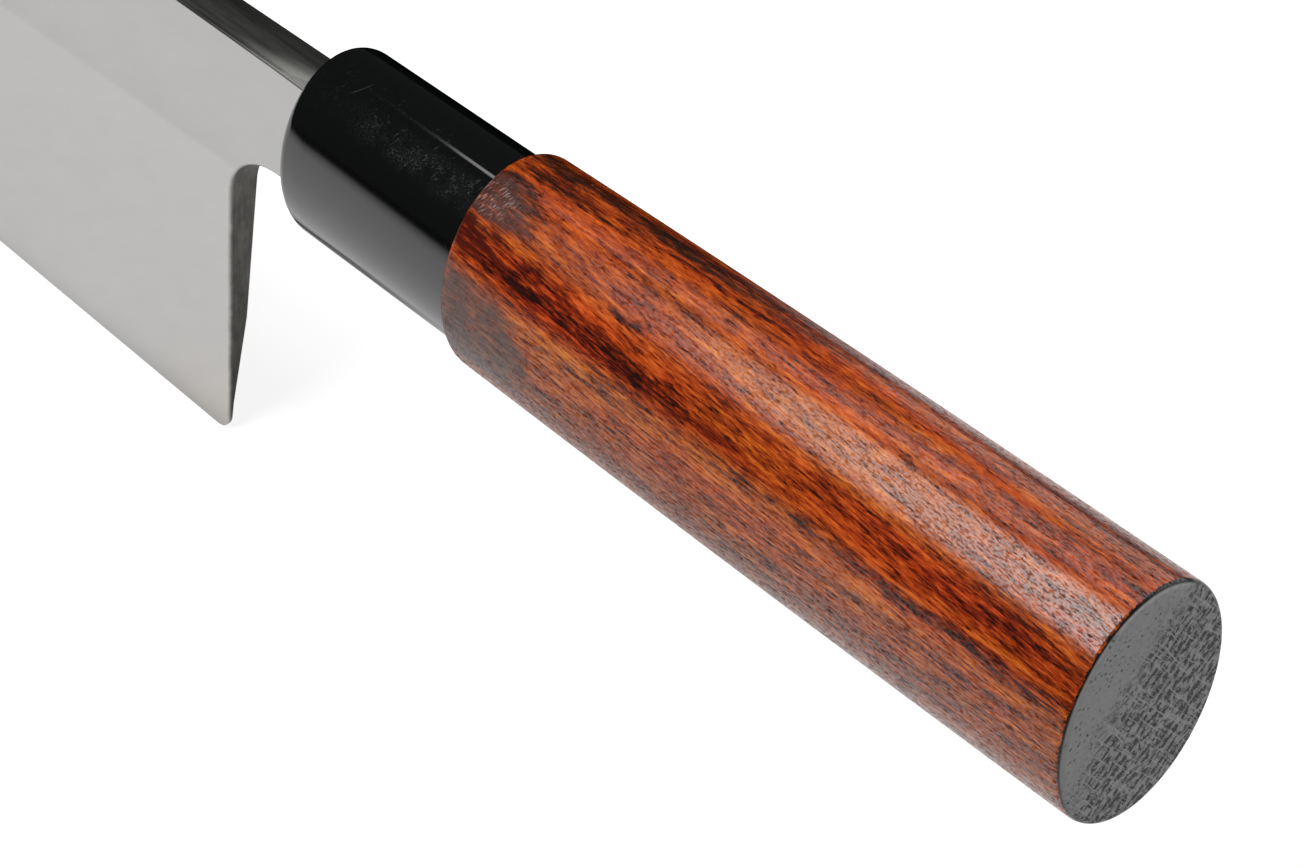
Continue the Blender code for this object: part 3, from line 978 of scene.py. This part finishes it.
def make_wood():
    material, shader = new_material(
        "oiled_rosewood", IOR=1.5, Specular_IOR_Level=0.0, Coat_Roughness=0.20, Coat_IOR=1.71)
    place, x, y, z = place_mm(shader)
    angle = handle_angle(y, z)
    solid = swing(swing(place, ALONG_X, LAYERS_TILT), ALONG_Z, GRAIN_SLANT)
    sway = centred(grain(solid, 9.0, 1.6, 1.2, 3.0))
    spot = more(x, sway, 18.0), more(angle, sway, 16.0)
    cloud = grain(solid, 3.2, 0.8, 0.6, 5.0)
    fine = grain(solid, 3.0, 0.32, 0.26, 2.0)
    pores = fade(grain(solid, 1.6, 0.20, 0.18, 9.0), 0.54, 0.66)
    needles = fade(grain(solid, 1.2, 0.13, 0.12, 15.0), 0.44, 0.62)
    closed = closed_grain(place, spot)
    dark = wood_darkness(solid, angle, spot, cloud, fine, needles, pores)
    tint = wood_tint(solid, x, angle)
    colour = blend(1.0, ramp(dark, WOOD_TONES), tint, "MULTIPLY")
    colour = blend(closed, colour, PLAIN_BROWN)
    colour = colour_the_front(colour, spot, cloud, fine)
    grit = specks(place, 3.4, 0.13, 0.16)
    colour = blend(times(grit, 0.5), colour, PALE_GRIT)
    colour = blend(crept_paint(place, x, angle), colour, CREPT_PAINT)
    # Turning marks cut across the grain a little askew; behind the ferrule they are painted
    # pale, a painted glint of the real marks catching the light
    around = swing(place, TURNING_AXIS, TURNING_SLANT)
    turning = noise_of(combine("DIVIDE", around, (0.16, 0.8, 0.8)), 1.0, 2.0)
    pale = stain((x, angle), *TURNED_PATCH)
    pale = times(pale, fade(turning, 0.54, 0.65))
    colour = blend(pale, colour, PAINTED_TURNING_GLINT)
    cover(shader, colour, more(0.3, pores, 0.15))
    height = more(times(fine, 0.8), turning, 0.55)
    relief(shader, more(height, pores, -0.35), 0.012)
    oil = wood_oil(solid, x, angle, fine, turning, needles, pores, closed)
    plug(shader.inputs["Coat Weight"], oil)
    return material


# Steel

# Turn of the drawn lines on the blade's side, and the turn that lays hairlines almost
# along them
BRUSH_TURN = math.radians(-34)
HAIRLINE_TURN = math.radians(88)
STEEL_COLD = (0.530, 0.526, 0.520)
STEEL_WARM = (0.540, 0.512, 0.486)


def from_rims(x, z):
    """Distance in millimetres from heel, choil and neck line, seen from the side."""
    turn = math.atan(HEEL_LEAN)
    heel = more(-HEEL_X / MM * math.cos(turn), x, math.cos(turn))
    lean = more(-(NECK_Z - NECK_FALL) / MM * math.sin(turn), z, math.sin(turn))
    heel = plus(plus(heel, lean), CHOIL_RADIUS / MM)
    neck = minus(z, (NECK_Z - 0.6 * NECK_FALL - CHOIL_RADIUS) / MM)
    reach = length_of(calc("MAXIMUM", heel, 0.0), calc("MAXIMUM", neck, 0.0))
    return minus(reach, CHOIL_RADIUS / MM)


def filed_rims_and_shade(place, y, z, below, inside):
    """The filed heel, choil and neck, fading out over their rounded edge on the left side, with
    painted shade on that edge.
    """
    back = times(calc("MAXIMUM", below, 0.0), -BACK_LEAN)
    depth = minus(back, y)
    wave = noise_of(place, 0.45, 3.0, 0.6)
    over = minus(depth, calc("MAXIMUM", inside, 0.0))
    over = more(over, centred(wave), 0.5)
    edge = EDGE_HEEL_Z / MM
    # Painted shade: the fade across the rounded edge also darkens it as it turns away from the
    # reflected light
    return times(fade(over, -0.50, 0.62), fade(inside, 1.0, 0.6),
                 fade(z, edge + 0.5, edge + 3.5, 0.55, 1.0))


def filed_tone(place):
    """Dull filed steel of heel, choil and neck: its colour and its marks."""
    upright = swing(place, ALONG_Y, math.radians(90))
    file_marks = grain(upright, 9.0, 0.5, 0.5, 6.0)
    patch = noise_of(place, 0.34, 3.0, 0.6)
    tone = more(0.052, fade(file_marks, 0.3, 0.7), 0.035)
    tone = more(tone, centred(patch), 0.09)
    return triple(tone, times(tone, 0.97), times(tone, 0.88)), file_marks


def make_steel():
    material, shader = new_material("satin_steel", Metallic=1.0)
    place, x, y, z = place_mm(shader)
    crease = more((crease_z(HEEL_X) + CREASE_SLOPE * HEEL_X) / MM, x, -CREASE_SLOPE)
    below = minus(crease, z)
    run = swing(place, ALONG_Y, BRUSH_TURN)
    brushed = grain(run, 14.0, 0.22, 0.22, 4.0)
    patch = grain(run, 8.0, 3.2, 3.2, 8.0)
    hair = use(HAIRLINES, Vector=run, Turn=HAIRLINE_TURN, Spacing=0.16, Length=9.0, Share=0.35)
    # Painted reflection: the face is a little darker above the crease than just below it, and
    # darkens again further down, as its reflection does
    upper = fade(below, -14.0, -0.6, 0.955, 0.915)
    lower = fade(below, 0.6, 40.0, 0.995, 0.955)
    level = between(upper, lower, fade(below, -0.6, 0.6))
    level = more(level, centred(brushed), 0.05)
    level = more(level, centred(patch), 0.10)
    level = more(level, hair, -0.022)
    inside = from_rims(x, z)
    filed = filed_rims_and_shade(place, y, z, below, inside)
    polished = times(fade(inside, 1.2, 0.5), fade(inside, 0.1, 0.5))
    level = more(level, polished, 0.02)
    warmth = times(fade(z, -36.0, -56.0), fade(x, -18.0, -40.0))
    warmth = more(warmth, polished, 0.3)
    tone = blend(more(0.1, warmth, 0.8), STEEL_COLD, STEEL_WARM)
    colour = blend(1.0, tone, triple(level, level, level), "MULTIPLY")
    dull, file_marks = filed_tone(place)
    rough = more(more(0.24, brushed, 0.12), hair, 0.05)
    cover(shader, blend(filed, colour, dull), more(rough, filed, 0.12))
    height = more(times(hair, -0.5), brushed, 0.6)
    relief(shader, more(height, times(file_marks, filed), 2.0), 0.003)
    return material


def make_spine_steel():
    """Top of the blade: darker, with a painted highlight on the ground facets beside the ferrule
    and painted dark reflections along its left edge.
    """
    material, shader = new_material("spine_steel_and_reflections", Metallic=1.0)
    place, x, y = place_mm(shader)[:3]
    forward = minus(x, FERRULE_X / MM)
    across = times(y, -1.0)
    drawn = grain(place, 11.0, 0.6, 0.6, 11.0)
    patch = noise_of(combine("MULTIPLY", place, (0.12, 0.5, 0.5)), 1.0, 3.0, 0.6)
    tone = more(0.115, fade(drawn, 0.3, 0.7), 0.04)
    tone = more(tone, centred(patch), 0.10)
    # Painted highlight: the ground facets beside the ferrule get brighter towards it, as they
    # reflect the lamp
    share = more(0.95, forward, -1 / 20.0)
    share = more(share, across, -1 / 4.0)
    share = more(share, centred(patch), 0.25)
    wedge_highlight = fade(share, -0.15, 0.55)
    tone = between(tone, fade(forward, 20.0, 2.0, 0.34, 0.64), wedge_highlight)
    # Painted reflection: a thin dark line between the bright facets and the left face
    line = times(fade(across, 0.16, 0.36), fade(across, 0.85, 0.40), fade(forward, 25.0, 14.0))
    # Painted shade: the rounded left edge is darkened, standing for the dark it reflects
    corner = fade(across, 0.45, 0.05)
    tone = less(less(tone, line, 0.5), corner, 0.72)
    colour = triple(tone, tone, times(tone, 0.95))
    cover(shader, colour, more(more(0.24, drawn, 0.14), corner, 0.22))
    relief(shader, drawn, 0.004)
    return material


# Ferrule

# Axis square to the upper left side, and the turns of two sets of hairlines round it
HAIR_AXIS = (0.0, 0.5, 0.86)
HAIR_TURNS = (math.radians(20), math.radians(-62))

# Short curved scratch: middle and radius of its ring, seen from above, in mm
SCRATCH_X = -64.6
SCRATCH_Y = -2.8
SCRATCH_RADIUS = 4.23


def dust_and_sheen_band(place, x, angle):
    """Band on the upper left with fine dust and scratches, and painted sheen where the lamps'
    haze falls on them.
    """
    haze = noise_of(place, 0.30, 4.0, 0.6)
    return times(fade(angle, 46.0, 58.0), fade(angle, 76.0, 64.0),
                 fade(x, -68.0, -77.0, 0.12, 1.0), fade(haze, 0.40, 0.58, 0.15, 1.0))


def curved_scratch(x, y, upper):
    """Short curved scratch near the mouth: part of a ring seen from above."""
    ring_x = minus(x, SCRATCH_X)
    ring_y = minus(y, SCRATCH_Y)
    off = minus(length_of(ring_x, ring_y), SCRATCH_RADIUS)
    ring = times(fade(off, -0.10, -0.02), fade(off, 0.10, 0.02))
    ends = times(fade(y, -2.3, -1.3), fade(y, 0.6, -0.3))
    return times(ring, ends, fade(x, -66.0, -66.5), upper)


def make_ferrule_black():
    material, shader = new_material("polished_black", IOR=1.8)
    place, x, y, z = place_mm(shader)
    angle = handle_angle(y, z)
    hair = use(HAIRLINES, Vector=place, Axis=HAIR_AXIS, Turn=HAIR_TURNS[0], Spacing=0.09,
               Length=2.4, Share=0.30)
    hair_b = use(HAIRLINES, Vector=place, Axis=HAIR_AXIS, Turn=HAIR_TURNS[1], Spacing=0.08,
                 Length=1.8, Share=0.26)
    scratches = calc("ADD", hair, hair_b, clamp=True)
    dust = specks(place, 2.3, 0.11, 0.35)
    fine_dust = specks(place, 0.8, 0.06, 0.30)
    upper = fade(z, 2.0, 9.0)
    dust_and_sheen = dust_and_sheen_band(place, x, angle)
    grit = noise_of(place, 6.0, 2.0, 0.7)
    # Painted haze: the upper side is a little lighter and the dusty upper-left strip lighter
    # still, standing for lamp light scattered by dust and scratches
    level = more(0.0012, upper, 0.0018)
    level = more(level, times(dust_and_sheen, fade(grit, 0.50, 0.66)), 0.045)
    level = more(level, times(scratches, plus(dust_and_sheen, 0.06)), 0.085)
    level = more(level, plus(dust, fine_dust), 0.025)
    level = more(level, curved_scratch(x, y, upper), 0.028)
    colour = triple(times(level, 0.86), level, times(level, 0.97))
    rough = more(fade(angle, 42.0, 62.0, 0.11, 0.06), dust_and_sheen, 0.015)
    cover(shader, colour, more(rough, scratches, 0.05))
    relief(shader, more(times(dust, 0.6), scratches, -0.5), 0.002)
    return material


# Sealed end

# Spacing in mm of the close rows and of the strong pale ones
ROW_PITCH = 1.42
STRONG_ROW_PITCH = 4.3


def end_grain(place, y, z):
    """Open pits of the end grain through the paint, and the pale rows and rays between."""
    layers = swing(place, ALONG_X, LAYERS_TILT)
    wander = centred(noise_of(place, 0.2, 2.0))
    bent = combine("ADD", layers, triple(0.0, wander, wander))
    height = add("SeparateXYZ", {0: bent}).outputs[2]
    wave = noise_of(place, 0.55, 2.0)

    def spread(along, across, low, high, seed):
        moved = combine("ADD", bent, (seed, seed, seed))
        shrunk = combine("DIVIDE", moved, (1.0, along, across))
        return fade(noise_of(shrunk, 1.0, 2.0, 0.5), low, high)

    phase = more(times(height, math.tau / ROW_PITCH), wave, 3.2)
    rows = fade(calc("SINE", phase), 0.05, 0.85)
    strong_phase = times(height, math.tau / STRONG_ROW_PITCH)
    strong = fade(calc("SINE", strong_phase), 0.965, 0.998)
    pale = calc("MAXIMUM", strong, spread(0.32, 9.0, 0.56, 0.64, 31.0))
    side = more(more(-2.3, y, -LAYERS_Y), z, -LAYERS_Z)
    dense = fade(more(side, wander, 9.0), -8.5, 1.0, 0.0, 1.15)
    pits = times(spread(0.80, 0.62, 0.42, 0.52, 57.0), dense)
    pits = less(pits, rows, 0.62)
    pits = times(pits, more(0.55, spread(0.17, 0.55, 0.37, 0.49, 83.0), 0.70))
    dots = specks(place, 0.62, 0.26, 0.42)
    dots = times(dots, fade(wave, 0.38, 0.54, 0.35, 1.0))
    pits = calc("MAXIMUM", pits, dots)
    pits = calc("MULTIPLY", pits, more(1.0, pale, -0.75), clamp=True)
    return pits, times(pale, dense)


def make_seal_paint_and_reflection():
    material, shader = new_material("sealing_paint_and_reflection", IOR=1.45)
    place, x, y, z = place_mm(shader)
    pits, rays = end_grain(place, y, z)
    film = noise_of(place, 1.8, 4.0, 0.6)
    # Painted light: the paint is near black, and its flat face is made grey for the white floor
    # it reflects
    level = more(0.355, centred(film), 0.22)
    level = more(level, rays, 0.06)
    level = less(level, pits, 0.95)
    # Rounded rim: painted shade, a dark grey for the dark room it reflects, darkest and near
    # black in the corner against the wood
    shaded_rim = fade(x, BUTT_X / MM + 0.16, BUTT_X / MM + 0.34)
    seam_shade = fade(x, PAINT_X / MM - 0.18, PAINT_X / MM - 0.06)
    level = between(level, more(0.045, seam_shade, -0.034), shaded_rim)
    cover(shader, triple(level, level, level), more(0.62, shaded_rim, -0.25))
    relief(shader, more(times(film, 0.3), pits, -1.0), 0.04)
    return material


# Hidden fills

CEMENT_DARK = (0.34, 0.27, 0.17)
CEMENT_PALE = (0.47, 0.39, 0.26)
CEMENT_PIT = (0.16, 0.12, 0.08)
RESIN_DARK = (0.016, 0.013, 0.011)
RESIN_PALE = (0.040, 0.032, 0.027)
RESIN_DUST = (0.18, 0.17, 0.15)


def make_cement():
    material, shader = new_material("tang_cement")
    place = place_mm(shader)[0]
    lump = noise_of(place, 0.7, 4.0, 0.65)
    colour = blend(fade(lump, 0.3, 0.7), CEMENT_DARK, CEMENT_PALE)
    pits = specks(place, 1.1, 0.2, 0.4)
    cover(shader, blend(pits, colour, CEMENT_PIT), 0.8)
    relief(shader, minus(lump, pits), 0.2)
    return material


def make_resin():
    material, shader = new_material("mouth_resin", IOR=1.5)
    place = place_mm(shader)[0]
    flow = noise_of(place, 0.9, 3.0, 0.55, 0.4)
    colour = blend(flow, RESIN_DARK, RESIN_PALE)
    dust = times(specks(place, 0.7, 0.06, 0.4), 0.4)
    cover(shader, blend(dust, colour, RESIN_DUST), more(0.22, flow, 0.15))
    relief(shader, flow, 0.15)
    return material


# Pieces

def dress(obj, material):
    obj.data.materials.clear()
    obj.data.materials.append(material)


def dress_spine(blade, material):
    """Second material on the top of the blade, as far as the tip."""
    blade.data.materials.append(material)
    start_edit(blade)
    choose(blade, lambda at, normal: normal.z > 0.55 and at.z > TIP_Z and at.x > FERRULE_X
           and abs(normal.y) < 0.8, "polygons")
    blade.active_material_index = 1
    bpy.ops.object.material_slot_assign()
    end_edit()


blade = make_blade()
dress(blade, make_steel())
dress_spine(blade, make_spine_steel())
ferrule = make_ferrule()
dress(ferrule, make_ferrule_black())
grip = make_grip()
dress(grip, make_wood())
seal = make_seal()
dress(seal, make_seal_paint_and_reflection())

for piece, node, finish in (
        (blade, "blade", "steel"), (ferrule, "ferrule", "ferrule_black"),
        (grip, "grip", "rosewood"), (seal, "end_seal", "seal_black")):
    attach(piece, "root")
    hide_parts(node)

for node, material in (("tang_cement", make_cement()), ("mouth_resin", make_resin())):
    dress(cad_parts[node], material)


# Studio

# Lamps along the handle: angle round it in degrees, distance, where they start and end
# along x, width, all in metres, and brightness
LAMPS = {
    "key_softbox": (62.5, 0.8, -0.15, 0.26, 0.70, 2.4),
    "key_spill": (62.5, 0.81, -0.15, 0.40, 0.70, 3.0),
    "strip_lamp": (104.0, 0.8, -0.30, 0.42, 0.22, 1.25),
    "strip_end": (101.0, 0.8, 0.43, 0.485, 0.07, 2.2),
    "top_card": (120.5, 0.8, -0.40, 0.30, 0.30, 1.2),
    "top_card_end": (115.5, 0.8, 0.30, 0.42, 0.10, 1.0)}

FLOOR_SIZE = 20.0
FLOOR_GREY = (0.45, 0.45, 0.45)
FLOOR_SEEN = (0.5, 0.5, 0.5)
FLOOR_LIFT = 0.66
ROOM_LIGHT = 0.25
ROOM_GLOSS = 0.03


def area(name, at, aim, size_x, size_y, brightness):
    data = bpy.data.lights.new(name, "AREA")
    data.shape = "RECTANGLE"
    data.size = size_x
    data.size_y = size_y
    data.energy = brightness * math.pi * size_x * size_y
    lamp = bpy.data.objects.new(name, data)
    bpy.context.scene.collection.objects.link(lamp)
    lamp.location = at
    back = (Vector(at) - Vector(aim)).normalized()
    side = Vector((1, 0, 0))
    upward = back.cross(side).normalized()
    lamp.rotation_euler = Matrix((side, upward, back)).transposed().to_euler()
    lamp.visible_camera = False


def over_axis(name, angle, distance, x_from, x_to, width, brightness):
    """Lamp beside the handle's axis, facing it."""
    middle = (x_from + x_to) / 2
    turn = math.radians(angle)
    at = (middle, HANDLE_Y + distance * math.cos(turn), distance * math.sin(turn))
    area(name, at, (middle, HANDLE_Y, 0), x_to - x_from, width, brightness)


def make_lamps():
    for name, lamp in LAMPS.items():
        over_axis(name, *lamp)
    area("side_card", (-0.39, -0.6, 0.355), (-0.39, 0.0, 0.355), 1.22, 0.67, 0.95)


def table_white(place):
    """The table as the gloss sees it: white up to its edges, dark beyond them, with a painted
    shadow of the knife under it.
    """
    def edge(normal, white, dark, kind="SMOOTHSTEP"):
        side = combine("DOT_PRODUCT", place, normal)
        node = add("MapRange", {"Value": side, "From Min": dark, "From Max": white},
                   interpolation_type=kind)
        return node.outputs["Result"]

    front = times(edge((0.884, -0.468, 0.0), 0.22, 0.34),
                  edge((-0.5, 0.866, 0.0), 0.13, 0.31, "LINEAR"))
    behind = times(edge((0.86, 0.51, 0.0), -0.13, -0.09), edge(ALONG_Y, -0.28, -0.48))
    white = between(front, behind, edge(ALONG_Y, -0.06, -0.04))
    # Painted shadow: darker under the knife, for its own shadow on the table as the gloss sees
    # it
    under = times(edge((0.0, -1.0, 0.0), 0.012, 0.040), edge(ALONG_Y, -0.006, 0.004),
                  edge(ALONG_X, -0.035, -0.065))
    return less(white, under, 0.75)


def make_floor():
    low = min(cad_box[0].z, EDGE_HEEL_Z)
    bpy.ops.mesh.primitive_plane_add(size=FLOOR_SIZE, location=(0, 0, low))
    floor = named("floor")
    material = bpy.data.materials.new("pale_floor")
    material.use_nodes = True
    tree = material.node_tree
    tree.nodes.clear()
    place = tree.nodes.new("ShaderNodeTexCoord").outputs["Object"]
    path = tree.nodes.new("ShaderNodeLightPath")

    def shade(kind, socket, value):
        node = tree.nodes.new("ShaderNode" + kind)
        plug(node.inputs[socket], value)
        return node.outputs[0]

    def mix(factor, a, b):
        return add("MixShader", {0: factor, 1: a, 2: b}).outputs[0]

    near = add("AddShader", {
        0: shade("BsdfDiffuse", "Color", FLOOR_SEEN),
        1: shade("Emission", "Strength", FLOOR_LIFT)})
    away = fade(combine("LENGTH", place, ORIGIN), 0.25, 0.9)
    to_camera = mix(away, near.outputs[0], shade("Emission", "Strength", 1.0))
    to_gloss = shade("Emission", "Strength", table_white(place))
    to_others = shade("BsdfDiffuse", "Color", FLOOR_GREY)
    others = mix(path.outputs["Is Glossy Ray"], to_others, to_gloss)
    surface = mix(path.outputs["Is Camera Ray"], others, to_camera)
    add("OutputMaterial", {"Surface": surface})
    dress(floor, material)


def make_world():
    world = bpy.data.worlds.new("studio")
    bpy.context.scene.world = world
    world.use_nodes = True
    tree = world.node_tree
    background = tree.nodes["Background"]
    path = tree.nodes.new("ShaderNodeLightPath")
    room = add("Mix", {
        "Factor": path.outputs["Is Glossy Ray"], "A": ROOM_LIGHT, "B": ROOM_GLOSS})
    seen = add("Mix", {
        "Factor": path.outputs["Is Camera Ray"], "A": room.outputs["Result"], "B": 1.0})
    plug(background.inputs["Strength"], seen.outputs["Result"])
    plug(background.inputs["Color"], (1.0, 1.0, 1.0))


def make_camera():
    data = bpy.data.cameras.new("camera")
    data.sensor_fit = "HORIZONTAL"
    data.sensor_width = SENSOR
    data.lens = FOCAL_PIXELS / PHOTO_WIDTH * SENSOR
    data.clip_start = 0.01
    data.clip_end = 50
    camera = bpy.data.objects.new("camera", data)
    bpy.context.scene.collection.objects.link(camera)
    back = CAMERA_RIGHT.cross(CAMERA_UP)
    camera.rotation_euler = Matrix((CAMERA_RIGHT, CAMERA_UP, back)).transposed().to_euler()
    camera.location = CAMERA_AT
    bpy.context.scene.camera = camera


make_lamps()
make_floor()
make_world()
make_camera()
bpy.context.scene.view_settings.view_transform = "Standard"
